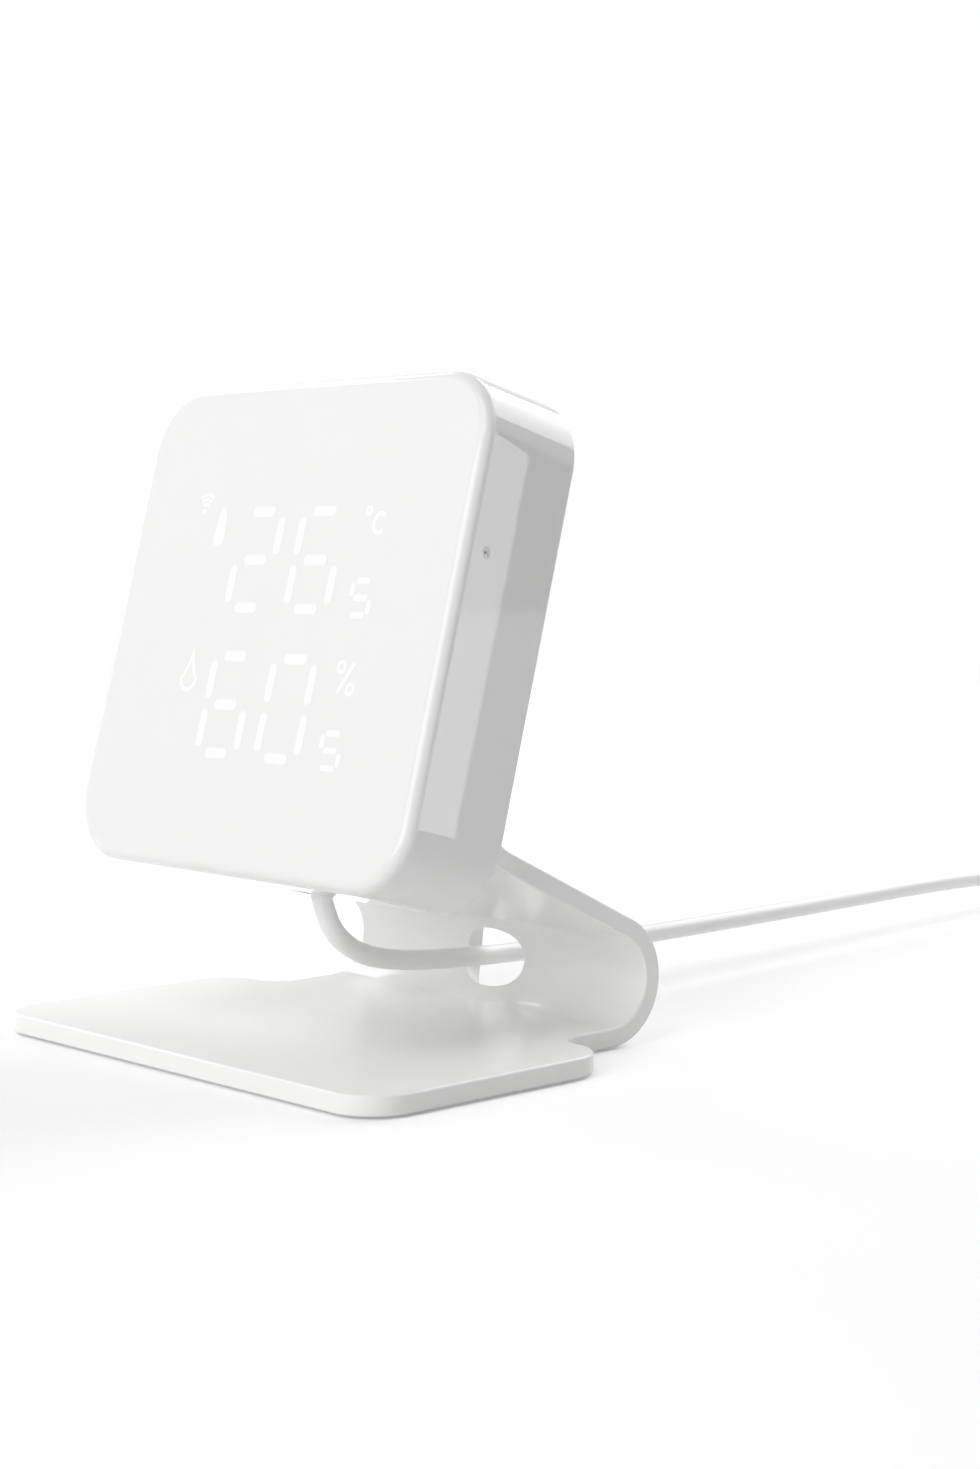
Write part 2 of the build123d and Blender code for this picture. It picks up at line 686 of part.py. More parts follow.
# ---------------------------------------------------------------- power lead
relief_end = along_plug(relief_tip).origin
lead_route = [
    relief_end,
    relief_end - up_face * 6.0,
    (2.4, -6.3, 20.0),
    (1.9, -0.8, 14.4),
    (1.0, 9.0, 11.5),
    (0.2, 27.0, 10.1),
    (-2.2, 58.0, 8.7),
    (-6.8, 116.0, 8.0),
    (-12.5, 175.0, 7.6),
    (-15.4, 203.0, 4.2),
    (-16.7, 217.0, (cord_diameter + coil_slack) / 2),
    (-16.7, 229.0, (cord_diameter + coil_slack) / 2),
]
coil_reach = coil_radius + cord_diameter     # centre line of the outermost turn
coil_centre = Vector(lead_route[-1][0] + coil_reach, lead_route[-1][1] + coil_stub, 0)
tail_start = coil_centre + Vector(coil_reach, -coil_stub, cord_diameter * 1.5 + coil_slack / 2)
tail_route = [
    tail_start,
    tail_start + Vector(0, -7.5, 0),
    tail_start + Vector(0.5, -15.5, -0.8),
    tail_start + Vector(0.5, -23.0, -0.8),
]


def corner_radii(route):
    """Largest even arcs that the two runs at each corner leave room for."""
    points = [Vector(point) for point in route]
    radii = []
    for before, corner, after in zip(points, points[1:], points[2:]):
        turn = radians((corner - before).get_angle(after - corner))
        radii.append(0.45 * min((corner - before).length, (after - corner).length) / tan(turn / 2))
    return radii


def print_tube(name, part, path_length, radii):
    """Check a tube's volume against its section times its length."""
    volume = pi * (cord_diameter / 2) ** 2 * path_length
    print(name, "length", round(path_length, 1), "volume ratio", round(part.volume / volume, 4))
    print(name, "radii", [round(radius, 1) for radius in radii])


with BuildPart() as cord_lead:
    with BuildLine():
        lead_path = FilletPolyline(*lead_route, radius=corner_radii(lead_route))
    with BuildSketch(along_plug(relief_tip)):
        Circle(cord_diameter / 2)
    sweep(path=lead_path)
print_tube("lead", cord_lead.part, lead_path.length, corner_radii(lead_route))
finish(cord_lead.part, "cord_lead")

bundle_width = 3 * cord_diameter + 2 * coil_slack
bundle_height = 2 * (cord_diameter + coil_slack)
tie_plane = Plane(origin=coil_centre + Vector(0, coil_radius, bundle_height / 2), x_dir=(0, 1, 0), z_dir=(1, 0, 0))
with BuildPart() as cord_coil:
    with BuildSketch(Plane(origin=coil_centre, x_dir=(1, 0, 0), z_dir=(0, -1, 0))):
        with Locations((coil_radius, cord_diameter + coil_slack)):
            RectangleRounded(bundle_width, bundle_height, cord_diameter * 0.4)
    revolve(axis=Axis(coil_centre, (0, 0, 1)))
    # shallow groove where the tie pulls the turns together
    with BuildSketch(tie_plane):
        Rectangle(bundle_width + tie_thickness, bundle_height + tie_thickness)
        RectangleRounded(bundle_width - 2 * tie_thickness, bundle_height - 2 * tie_thickness,
                         cord_diameter * 0.4 - tie_thickness, mode=Mode.SUBTRACT)
    extrude(amount=tie_width / 2, both=True, mode=Mode.SUBTRACT)
    for start in (Vector(lead_route[-1]), tail_start):
        with BuildSketch(Plane(origin=start, x_dir=(1, 0, 0), z_dir=(0, 1, 0))):
            Circle(cord_diameter / 2)
        extrude(amount=coil_stub)
finish(cord_coil.part, "cord_coil")

with BuildPart() as cord_tie:
    with BuildSketch(tie_plane):
        RectangleRounded(bundle_width, bundle_height, cord_diameter * 0.4)
        RectangleRounded(bundle_width - 2 * tie_thickness, bundle_height - 2 * tie_thickness,
                         cord_diameter * 0.4 - tie_thickness, mode=Mode.SUBTRACT)
    extrude(amount=tie_width / 2, both=True)
finish(cord_tie.part, "cord_tie")

with BuildPart() as cord_tail:
    with BuildLine():
        tail_path = FilletPolyline(*tail_route, radius=corner_radii(tail_route))
    with BuildSketch(Plane(origin=tail_start, z_dir=Vector(tail_route[1]) - tail_start)):
        Circle(cord_diameter / 2)
    sweep(path=tail_path)
print_tube("tail", cord_tail.part, tail_path.length, corner_radii(tail_route))
finish(cord_tail.part, "cord_tail")

supply_axis = Vector(tail_route[-1])


def along_supply(distance):
    """Plane square to the far plug's axis, this far beyond the end of the lead."""
    return Plane(origin=supply_axis + Vector(0, -distance, 0), x_dir=(1, 0, 0), z_dir=(0, -1, 0))


with BuildPart() as supply_strain_relief:
    with BuildSketch(along_supply(0)):
        Circle(cord_diameter / 2 + relief_wall)
    with BuildSketch(along_supply(supply_relief_length)):
        Circle(supply_relief_diameter / 2)
    loft()
finish(supply_strain_relief.part, "supply_strain_relief")

with BuildPart() as supply_plug_body:
    with BuildSketch(along_supply(supply_relief_length)):
        RectangleRounded(*supply_body, supply_body[1] / 4)
    extrude(amount=supply_body_length)
    fillet(supply_plug_body.faces().sort_by(Axis.Y)[0].edges(), plug_edge)
    fillet(supply_plug_body.faces().sort_by(Axis.Y)[-1].edges(), 2 * plug_edge)
finish(supply_plug_body.part, "supply_plug_body")

shell_start = supply_relief_length + supply_body_length
carrier_drop = (supply_shell[1] - carrier_size[1]) / 2 - supply_shell_wall
with BuildPart() as supply_plug_shell:
    with BuildSketch(along_supply(shell_start)):
        RectangleRounded(*supply_shell, supply_shell_wall)
        Rectangle(supply_shell[0] - 2 * supply_shell_wall, supply_shell[1] - 2 * supply_shell_wall,
                  mode=Mode.SUBTRACT)
    extrude(amount=supply_shell_length)
    with BuildSketch(Plane.XY.offset(supply_axis.Z)):
        with Locations((supply_axis.X, supply_axis.Y - shell_start - supply_window_reach)):
            with GridLocations(supply_window_pitch, supply_window_pitch, 2, 1):
                Rectangle(supply_window, supply_window)
    extrude(amount=supply_shell[1], mode=Mode.SUBTRACT)
finish(supply_plug_shell.part, "supply_plug_shell")

with BuildPart() as supply_plug_insert:
    with BuildSketch(along_supply(shell_start)):
        with Locations((0, -carrier_drop)):
            Rectangle(*carrier_size)
    extrude(amount=supply_shell_length - carrier_short)
finish(supply_plug_insert.part, "supply_plug_insert")
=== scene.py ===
import bmesh
import bpy
from math import cos, pi, radians, sin, tan
from mathutils import Matrix, Vector


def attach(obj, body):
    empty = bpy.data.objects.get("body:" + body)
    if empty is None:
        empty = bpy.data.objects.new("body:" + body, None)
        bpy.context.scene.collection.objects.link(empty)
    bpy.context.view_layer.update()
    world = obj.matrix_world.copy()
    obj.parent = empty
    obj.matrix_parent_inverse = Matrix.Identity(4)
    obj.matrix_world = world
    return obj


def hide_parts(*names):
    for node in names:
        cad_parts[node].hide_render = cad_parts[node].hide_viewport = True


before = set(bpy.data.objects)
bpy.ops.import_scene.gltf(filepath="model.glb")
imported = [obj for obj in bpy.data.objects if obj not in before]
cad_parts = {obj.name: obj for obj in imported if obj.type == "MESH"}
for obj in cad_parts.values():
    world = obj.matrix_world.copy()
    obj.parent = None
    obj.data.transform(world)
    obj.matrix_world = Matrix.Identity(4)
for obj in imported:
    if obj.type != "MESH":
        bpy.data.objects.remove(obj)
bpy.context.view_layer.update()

# ------------------------------------------------------------------ camera
# A long lens on a low stand, at the front right of the display, level with the middle of its face
# and turned a little down.
camera_place = Vector((0.3069, -0.25084, 0.07906))
camera_turn = radians(47.493)
camera_dip = radians(4.55)
camera_roll = radians(-0.444)
forward = Vector((-sin(camera_turn) * cos(camera_dip), cos(camera_turn) * cos(camera_dip), -sin(camera_dip)))
level_right = Vector((cos(camera_turn), sin(camera_turn), 0))
level_up = level_right.cross(forward)
right = level_right * cos(camera_roll) + level_up * sin(camera_roll)
up = level_up * cos(camera_roll) - level_right * sin(camera_roll)
lens = bpy.data.cameras.new("long_lens")
lens.lens = 63.3
lens.sensor_width = 36.0
lens.clip_start = 0.01
lens.clip_end = 20.0
camera = bpy.data.objects.new("camera", lens)
bpy.context.scene.collection.objects.link(camera)
camera.matrix_world = Matrix((right, up, -forward)).transposed().to_4x4()
camera.location = camera_place
bpy.context.scene.camera = camera

# ------------------------------------------------------------------ studio
# A pale table under a white surround, with soft lamps low and high in front, at the left and behind,
# and a narrow card of light that the glossy side wall mirrors.
scene = bpy.context.scene
scene.view_settings.view_transform = "Standard"
surround = bpy.data.worlds.new("surround")
scene.world = surround
surround.use_nodes = True
nodes, links = surround.node_tree.nodes, surround.node_tree.links
ray = nodes.new("ShaderNodeLightPath")
seen = nodes.new("ShaderNodeMath")
seen.operation = "MAXIMUM"
seen_through = nodes.new("ShaderNodeMath")
seen_through.operation = "MAXIMUM"
links.new(ray.outputs["Is Camera Ray"], seen.inputs[0])
links.new(ray.outputs["Is Glossy Ray"], seen.inputs[1])
links.new(seen.outputs[0], seen_through.inputs[0])
links.new(ray.outputs["Is Transmission Ray"], seen_through.inputs[1])
strength = nodes.new("ShaderNodeMapRange")
strength.inputs["To Min"].default_value = 0.22
strength.inputs["To Max"].default_value = 1.0
links.new(seen_through.outputs[0], strength.inputs["Value"])
background = nodes["Background"]
background.inputs["Color"].default_value = (1.0, 1.0, 1.0, 1.0)
links.new(strength.outputs["Result"], background.inputs["Strength"])


def object_from(mesh, name):
    """Put a finished mesh in the scene at the origin."""
    piece = bpy.data.objects.new(name, mesh)
    bpy.context.scene.collection.objects.link(piece)
    return piece


bm = bmesh.new()
bmesh.ops.create_circle(bm, cap_ends=True, segments=64, radius=6.0)
mesh = bpy.data.meshes.new("table")
bm.to_mesh(mesh)
bm.free()
table = object_from(mesh, "table")
pale = bpy.data.materials.new("pale_table")
pale.use_nodes = True
nodes, links = pale.node_tree.nodes, pale.node_tree.links
nodes.remove(nodes["Principled BSDF"])
matt = nodes.new("ShaderNodeBsdfDiffuse")
matt.inputs["Color"].default_value = (0.84, 0.84, 0.84, 1.0)
near_glow = nodes.new("ShaderNodeEmission")
far_glow = nodes.new("ShaderNodeEmission")
ray = nodes.new("ShaderNodeLightPath")
seen = nodes.new("ShaderNodeMath")
seen.operation = "MAXIMUM"
links.new(ray.outputs["Is Camera Ray"], seen.inputs[0])
links.new(ray.outputs["Is Glossy Ray"], seen.inputs[1])
lift = nodes.new("ShaderNodeMapRange")
lift.inputs["To Min"].default_value = 0.0
lift.inputs["To Max"].default_value = 0.26
links.new(seen.outputs[0], lift.inputs["Value"])
links.new(lift.outputs["Result"], near_glow.inputs["Strength"])
both = nodes.new("ShaderNodeAddShader")
links.new(matt.outputs["BSDF"], both.inputs[0])
links.new(near_glow.outputs["Emission"], both.inputs[1])
place = nodes.new("ShaderNodeTexCoord")
out_from_middle = nodes.new("ShaderNodeVectorMath")
out_from_middle.operation = "LENGTH"
links.new(place.outputs["Object"], out_from_middle.inputs[0])
far_off = nodes.new("ShaderNodeMapRange")
far_off.interpolation_type = "SMOOTHSTEP"
far_off.inputs["From Min"].default_value = 0.45
far_off.inputs["From Max"].default_value = 1.1
links.new(out_from_middle.outputs["Value"], far_off.inputs["Value"])
blend = nodes.new("ShaderNodeMixShader")
links.new(far_off.outputs["Result"], blend.inputs[0])
links.new(both.outputs["Shader"], blend.inputs[1])
links.new(far_glow.outputs["Emission"], blend.inputs[2])
sight = nodes.new("ShaderNodeMixShader")
links.new(seen.outputs[0], sight.inputs[0])
links.new(matt.outputs["BSDF"], sight.inputs[1])
links.new(blend.outputs["Shader"], sight.inputs[2])
links.new(sight.outputs["Shader"], nodes["Material Output"].inputs["Surface"])
mesh.materials.append(pale)


def soft_lamp(name, place, aim, width, height, power):
    """A rectangular softbox at a place, turned towards a point."""
    data = bpy.data.lights.new(name, "AREA")
    data.shape = "RECTANGLE"
    data.size = width
    data.size_y = height
    data.energy = power
    lamp = bpy.data.objects.new(name, data)
    bpy.context.scene.collection.objects.link(lamp)
    lamp.location = place
    lamp.rotation_mode = "QUATERNION"
    lamp.rotation_quaternion = (Vector(aim) - Vector(place)).to_track_quat("-Z", "Y")
    return lamp


head_middle = (0.0, 0.0, 0.065)
soft_lamp("low_front_lamp", (0.0, -1.26, 0.37), head_middle, 1.0, 0.7, 6.8)
soft_lamp("high_front_lamp", (0.20, -0.84, 1.03), head_middle, 0.8, 0.8, 5.2)
soft_lamp("back_lamp", (0.0, 1.06, 0.81), head_middle, 1.2, 0.8, 10.0)
soft_lamp("left_lamp", (-1.17, 0.10, 0.61), head_middle, 1.0, 0.8, 7.0)

# a dark flag at the right keeps that side in shade
bm = bmesh.new()
bmesh.ops.create_grid(bm, x_segments=1, y_segments=1, size=0.5)
bmesh.ops.scale(bm, vec=(0.32, 0.17, 1), verts=bm.verts)
bmesh.ops.rotate(bm, cent=(0, 0, 0), matrix=Matrix.Rotation(pi / 2, 3, "X"), verts=bm.verts)
bmesh.ops.rotate(bm, cent=(0, 0, 0), matrix=Matrix.Rotation(radians(-47), 3, "Z"), verts=bm.verts)
bmesh.ops.translate(bm, vec=(0.29, 0.05, 0.145), verts=bm.verts)
mesh = bpy.data.meshes.new("flag")
bm.to_mesh(mesh)
bm.free()
flag = object_from(mesh, "flag")
cloth = bpy.data.materials.new("flag_cloth")
cloth.use_nodes = True
cloth.node_tree.nodes["Principled BSDF"].inputs["Base Color"].default_value = (0.06, 0.06, 0.06, 1.0)
cloth.node_tree.nodes["Principled BSDF"].inputs["Roughness"].default_value = 1.0
mesh.materials.append(cloth)
flag.visible_camera = flag.visible_shadow = False

# a narrow card of light stands where the right side wall mirrors it, and leans with the head
mirrored_eye = Vector((2 * 0.040 - camera_place.x, camera_place.y, camera_place.z))
seam = Vector((0.040, -0.00433, 0.06253))
lean = radians(15.4)
lean_up = Vector((0, sin(lean), cos(lean)))
away = (seam - mirrored_eye).normalized()
card_up = (lean_up - away * lean_up.dot(away)).normalized()
card_side = card_up.cross(away)
card_width, card_height = 0.060, 0.320
card_place = seam + away * 0.200 - card_side * card_width / 2 + card_up * 0.105
card = soft_lamp("side_card", card_place, seam, card_width, card_height, 0.19)
card.rotation_quaternion = Matrix((card_side, card_up, away)).transposed().to_quaternion()
card.visible_camera = card.visible_diffuse = False

# ------------------------------------------------------------------ stand
# One sheet of white moulded plastic, 3 mm thick: a flat plate with round corners, a neck that curls
# up at the back, an arm that climbs forward, and a tongue against the head's back.
sheet = 0.003
plate_width, plate_depth, plate_corner = 0.0925, 0.0467, 0.0075
neck_width, neck_length, neck_fillet = 0.068, 0.0121, 0.0046
curl_radius, arm_rise, arm_length = 0.0101, radians(26.3), 0.03545
arm_bend, tongue_length, tongue_corner = 0.005, 0.030, 0.008
table_gap = 0.0004
plate_front = -(plate_depth + neck_length + curl_radius) / 2
plate_back = plate_front + plate_depth
curl_y, curl_z = plate_back + neck_length, table_gap + curl_radius
half_plate, half_neck = plate_width / 2, neck_width / 2


def shown_shape(piece):
    """The piece's mesh with its modifiers applied."""
    bpy.context.view_layer.update()
    ready = bpy.data.meshes.new_from_object(piece.evaluated_get(bpy.context.evaluated_depsgraph_get()))
    piece.modifiers.clear()
    piece.data = ready


def cut(piece, cutter):
    """Take the cutter's volume out of a piece, and drop the cutter."""
    slot = piece.modifiers.new("cut", "BOOLEAN")
    slot.operation = "DIFFERENCE"
    slot.solver = "EXACT"
    slot.object = cutter
    shown_shape(piece)
    bpy.data.objects.remove(cutter)


def even_shading(piece, corner):
    """Smooth shading in which flats stay flat and corners past this angle stay crisp."""
    piece.data.shade_smooth()
    piece.data.set_sharp_from_angle(angle=radians(corner))
    weigh = piece.modifiers.new("even_shading", "WEIGHTED_NORMAL")
    weigh.keep_sharp = True


def piece_from(bm, name):
    """Close a bmesh into a named piece at the origin."""
    mesh = bpy.data.meshes.new(name)
    bm.to_mesh(mesh)
    bm.free()
    return object_from(mesh, name)


def moulded(name, colour, roughness, grain, depth, patch=0.02):
    """Plastic with a fine surface grain, and a shade and gloss that vary a little over the piece."""
    finish = bpy.data.materials.new(name)
    finish.use_nodes = True
    nodes, links = finish.node_tree.nodes, finish.node_tree.links
    shader = nodes["Principled BSDF"]
    shader.inputs["IOR"].default_value = 1.46
    place = nodes.new("ShaderNodeTexCoord")
    broad = nodes.new("ShaderNodeTexNoise")
    broad.inputs["Scale"].default_value = 38.0
    broad.inputs["Detail"].default_value = 3.0
    shade = nodes.new("ShaderNodeMapRange")
    shade.inputs["To Min"].default_value = 1.0 - patch
    shade.inputs["To Max"].default_value = 1.0
    tint = nodes.new("ShaderNodeVectorMath")
    tint.operation = "SCALE"
    tint.inputs[0].default_value = colour
    gloss = nodes.new("ShaderNodeMapRange")
    gloss.inputs["To Min"].default_value = roughness * 0.88
    gloss.inputs["To Max"].default_value = roughness * 1.12
    fine = nodes.new("ShaderNodeTexNoise")
    fine.inputs["Scale"].default_value = 1.0 / grain
    fine.inputs["Detail"].default_value = 2.0
    bump = nodes.new("ShaderNodeBump")
    bump.inputs["Strength"].default_value = 0.5
    bump.inputs["Distance"].default_value = depth
    links.new(place.outputs["Object"], broad.inputs["Vector"])
    links.new(place.outputs["Object"], fine.inputs["Vector"])
    links.new(broad.outputs["Fac"], shade.inputs["Value"])
    links.new(shade.outputs["Result"], tint.inputs["Scale"])
    links.new(tint.outputs["Vector"], shader.inputs["Base Color"])
    links.new(broad.outputs["Fac"], gloss.inputs["Value"])
    links.new(gloss.outputs["Result"], shader.inputs["Roughness"])
    links.new(fine.outputs["Fac"], bump.inputs["Height"])
    links.new(bump.outputs["Normal"], shader.inputs["Normal"])
    return finish


def fit(piece, finish, body="station"):
    """Give a piece its finish and let it go with its body."""
    piece.data.materials.clear()
    piece.data.materials.append(finish)
    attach(piece, body)


def points_of(geometry):
    """The points among what an operator made."""
    return [part for part in geometry if isinstance(part, bmesh.types.BMVert)]


bm = bmesh.new()
outline = [(-half_plate, plate_front), (half_plate, plate_front), (half_plate, plate_back),
           (half_neck, plate_back), (half_neck, curl_y), (-half_neck, curl_y),
           (-half_neck, plate_back), (-half_plate, plate_back)]
bm.faces.new([bm.verts.new((x, y, table_gap)) for x, y in outline])
corners = [v for v in bm.verts if abs(v.co.x) > half_neck + 0.001]
bmesh.ops.bevel(bm, geom=corners, offset=plate_corner, affect="VERTICES", segments=14,
                profile=0.5, material=-1)
roots = [v for v in bm.verts if abs(abs(v.co.x) - half_neck) < 1e-6 and 0 < v.co.y < curl_y - 0.001]
bmesh.ops.bevel(bm, geom=roots, offset=neck_fillet, affect="VERTICES", segments=10,
                profile=0.5, material=-1)
edge = next(e for e in bm.edges if all(abs(v.co.y - curl_y) < 1e-6 for v in e.verts))
spun = bmesh.ops.spin(bm, geom=[edge, *edge.verts], cent=(0, curl_y, curl_z), axis=(1, 0, 0),
                      angle=pi - arm_rise, steps=26)
edge = next(g for g in spun["geom_last"] if isinstance(g, bmesh.types.BMEdge))
turn = pi - arm_rise - (pi / 2 - lean)
reach = (arm_bend + sheet) * tan(turn / 2)
grown = bmesh.ops.extrude_edge_only(bm, edges=[edge])["geom"]
climb = Vector((0, -cos(arm_rise), sin(arm_rise)))
bmesh.ops.translate(bm, vec=climb * (arm_length - reach), verts=points_of(grown))
edge = next(e for e in bm.edges if len(e.link_faces) == 1 and e.calc_length() > half_neck
            and e.verts[0].co.z > curl_z + curl_radius and abs(e.verts[0].co.z - e.verts[1].co.z) < 1e-7)
hollow = edge.verts[0].co + Vector((0, sin(arm_rise), cos(arm_rise))) * arm_bend
spun = bmesh.ops.spin(bm, geom=[edge, *edge.verts], cent=(0, hollow.y, hollow.z), axis=(1, 0, 0),
                      angle=-turn, steps=14)
edge = next(g for g in spun["geom_last"] if isinstance(g, bmesh.types.BMEdge))
grown = bmesh.ops.extrude_edge_only(bm, edges=[edge])["geom"]
tips = points_of(grown)
bmesh.ops.translate(bm, vec=Vector((0, sin(lean), cos(lean))) * tongue_length, verts=tips)
bmesh.ops.bevel(bm, geom=tips, offset=tongue_corner, affect="VERTICES", segments=12,
                profile=0.5, material=-1)
bmesh.ops.remove_doubles(bm, verts=bm.verts, dist=1e-6)
bmesh.ops.recalc_face_normals(bm, faces=bm.faces)
bm.faces.ensure_lookup_table()
if min(bm.faces, key=lambda f: f.calc_center_median().z).normal.z < 0:
    bmesh.ops.reverse_faces(bm, faces=bm.faces)
stand_sheet = piece_from(bm, "stand_sheet")
thick = stand_sheet.modifiers.new("thickness", "SOLIDIFY")
thick.thickness = sheet
thick.offset = 1.0
thick.use_even_offset = True
soft = stand_sheet.modifiers.new("edges", "BEVEL")
soft.width = 0.0004
soft.segments = 3
soft.limit_method = "ANGLE"
soft.angle_limit = radians(40)
soft.use_clamp_overlap = False
shown_shape(stand_sheet)

# the cable hole widens outwards through the curl, as its core was drawn
hole_dip = radians(8)
bm = bmesh.new()
rings = []
for distance in (curl_radius - sheet - 0.0025, curl_radius + 0.0006):
    ring = bmesh.ops.create_circle(bm, segments=72, radius=1.0)["verts"]
    bmesh.ops.scale(bm, vec=(0.0135 / 2, distance * tan(radians(41)), 1.0), verts=ring)
    bmesh.ops.translate(bm, vec=(0, 0, distance), verts=ring)
    rings += {e for v in ring for e in v.link_edges}
bmesh.ops.bridge_loops(bm, edges=rings)
bmesh.ops.holes_fill(bm, edges=bm.edges)
hole_place = Matrix.Translation((0, curl_y, curl_z)) @ Matrix.Rotation(-pi / 2 - hole_dip, 4, "X")
bmesh.ops.transform(bm, matrix=hole_place, verts=bm.verts)
bmesh.ops.recalc_face_normals(bm, faces=bm.faces)
cut(stand_sheet, piece_from(bm, "hole_core"))

# two countersinks in the tongue, where it is screwed to the back cover
head_place = Matrix.Translation((0, -0.0139718, 0.0651854)) @ Matrix.Rotation(pi / 2 - lean, 4, "X")
head_depth = 0.018
screw_places = [Vector((x, -0.01415, -head_depth - sheet)) for x in (-0.023, 0.023)]
bm = bmesh.new()
for place in screw_places:
    cone = bmesh.ops.create_cone(bm, cap_ends=True, segments=40, radius1=0.0031, radius2=0.0017,
                                 depth=0.0014)["verts"]
    bmesh.ops.translate(bm, vec=place + Vector((0, 0, 0.0006)), verts=cone)
bmesh.ops.transform(bm, matrix=head_place, verts=bm.verts)
bmesh.ops.recalc_face_normals(bm, faces=bm.faces)
cut(stand_sheet, piece_from(bm, "countersinks"))

# four shallow pockets under the plate for the foot pads
pad_radius, pad_inset, pad_gap = 0.0045, 0.009, 0.0001
pad_places = [(x, y) for x in (pad_inset - half_plate, half_plate - pad_inset)
              for y in (plate_front + pad_inset, plate_back - pad_inset)]
bm = bmesh.new()
for x, y in pad_places:
    plug = bmesh.ops.create_cone(bm, cap_ends=True, segments=48, radius1=pad_radius + pad_gap,
                                 radius2=pad_radius + pad_gap, depth=0.0012)["verts"]
    bmesh.ops.translate(bm, vec=(x, y, table_gap), verts=plug)
bmesh.ops.recalc_face_normals(bm, faces=bm.faces)
cut(stand_sheet, piece_from(bm, "pad_pockets"))
# the cuts leave spare points along the hole's rim, which only two edges meet
bm = bmesh.new()
bm.from_mesh(stand_sheet.data)
bmesh.ops.dissolve_verts(bm, verts=[v for v in bm.verts if len(v.link_edges) == 2])
bm.to_mesh(stand_sheet.data)
bm.free()
even_shading(stand_sheet, 33)
stand_plastic = moulded("stand_white", (0.93, 0.93, 0.922), 0.20, 0.0005, 0.000004)
fit(stand_sheet, stand_plastic)
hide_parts("stand")

# ------------------------------------------------------------------ foot pads
# Four round silicone pads, 1 mm thick, glued into the pockets under the plate. Their lower rims are
# rounded, and they keep the plate 0.4 mm off the table.
bm = bmesh.new()
for x, y in pad_places:
    disc = bmesh.ops.create_cone(bm, cap_ends=True, segments=48, radius1=pad_radius, radius2=pad_radius,
                                 depth=0.001)["verts"]
    bmesh.ops.translate(bm, vec=(x, y, 0.0005), verts=disc)
rims = [e for e in bm.edges if all(v.co.z < 0.0001 for v in e.verts)]
bmesh.ops.bevel(bm, geom=rims, offset=0.00025, affect="EDGES", segments=4, profile=0.5, material=-1)
bmesh.ops.recalc_face_normals(bm, faces=bm.faces)
foot_pads = piece_from(bm, "pads")
even_shading(foot_pads, 50)
fit(foot_pads, moulded("pad_silicone", (0.80, 0.80, 0.79), 0.50, 0.0004, 0.00002))
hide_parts("foot_pads")

# ------------------------------------------------------------------ head shell
# The rounded square front half of the head, one glossy white moulding: a thin face that the lamps
# shine through, rounded into four side walls, open at the back, with a pinhole in its right side.
head_width, head_height, head_corner = 0.080, 0.0763, 0.01075
front_round, back_break, side_wall, face_wall = 0.00185, 0.0006, 0.0018, 0.0016
bm = bmesh.new()
bmesh.ops.create_cube(bm, size=1.0)
bmesh.ops.scale(bm, vec=(head_width, head_height, head_depth), verts=bm.verts)
bmesh.ops.translate(bm, vec=(0, 0, -head_depth / 2), verts=bm.verts)
posts = [e for e in bm.edges if abs(e.verts[0].co.z - e.verts[1].co.z) > head_depth / 2]
bmesh.ops.bevel(bm, geom=posts, offset=head_corner, affect="EDGES", segments=24, profile=0.5, material=-1)
front = max(bm.faces, key=lambda f: f.calc_center_median().z)
bmesh.ops.bevel(bm, geom=list(front.edges), offset=front_round, affect="EDGES", segments=8,
                profile=0.5, material=-1)
back = min(bm.faces, key=lambda f: f.calc_center_median().z)
bmesh.ops.bevel(bm, geom=list(back.edges), offset=back_break, affect="EDGES", segments=2,
                profile=0.5, material=-1)
back = min(bm.faces, key=lambda f: f.calc_center_median().z)
bmesh.ops.inset_region(bm, faces=[back], thickness=side_wall - back_break, use_even_offset=True)
grown = bmesh.ops.extrude_face_region(bm, geom=[back])["geom"]
bmesh.ops.translate(bm, vec=(0, 0, head_depth - face_wall), verts=points_of(grown))
if back.is_valid:
    bmesh.ops.delete(bm, geom=[back], context="FACES_ONLY")
bmesh.ops.recalc_face_normals(bm, faces=bm.faces)
bmesh.ops.transform(bm, matrix=head_place, verts=bm.verts)
head_shell = piece_from(bm, "head_shell")

# the pinhole, at the bottom of a round dimple
pin_place = (head_width / 2, 0.0122, -0.0044)
dimple_radius, pin_radius = 0.0009, 0.0002
bm = bmesh.new()
dimple = bmesh.ops.create_uvsphere(bm, u_segments=48, v_segments=32, radius=dimple_radius)["verts"]
bmesh.ops.scale(bm, vec=(0.42, 1, 1), verts=dimple)
bmesh.ops.translate(bm, vec=pin_place, verts=dimple)
bmesh.ops.transform(bm, matrix=head_place, verts=bm.verts)
cut(head_shell, piece_from(bm, "dimple"))
bm = bmesh.new()
pin = bmesh.ops.create_cone(bm, cap_ends=True, segments=32, radius1=pin_radius, radius2=pin_radius,
                            depth=0.005)["verts"]
bmesh.ops.rotate(bm, cent=(0, 0, 0), matrix=Matrix.Rotation(pi / 2, 3, "Y"), verts=pin)
bmesh.ops.translate(bm, vec=pin_place, verts=pin)
bmesh.ops.transform(bm, matrix=head_place, verts=bm.verts)
cut(head_shell, piece_from(bm, "pinhole"))
port_x, notch_width, notch_depth = 0.0025, 0.0044, 0.005
bm = bmesh.new()
block = bmesh.ops.create_cube(bm, size=1.0)["verts"]
bmesh.ops.scale(bm, vec=(notch_width, side_wall * 2, notch_depth * 2), verts=block)
bmesh.ops.translate(bm, vec=(port_x, -head_height / 2 + side_wall / 2, -head_depth), verts=block)
bmesh.ops.transform(bm, matrix=head_place, verts=bm.verts)
cut(head_shell, piece_from(bm, "notch"))
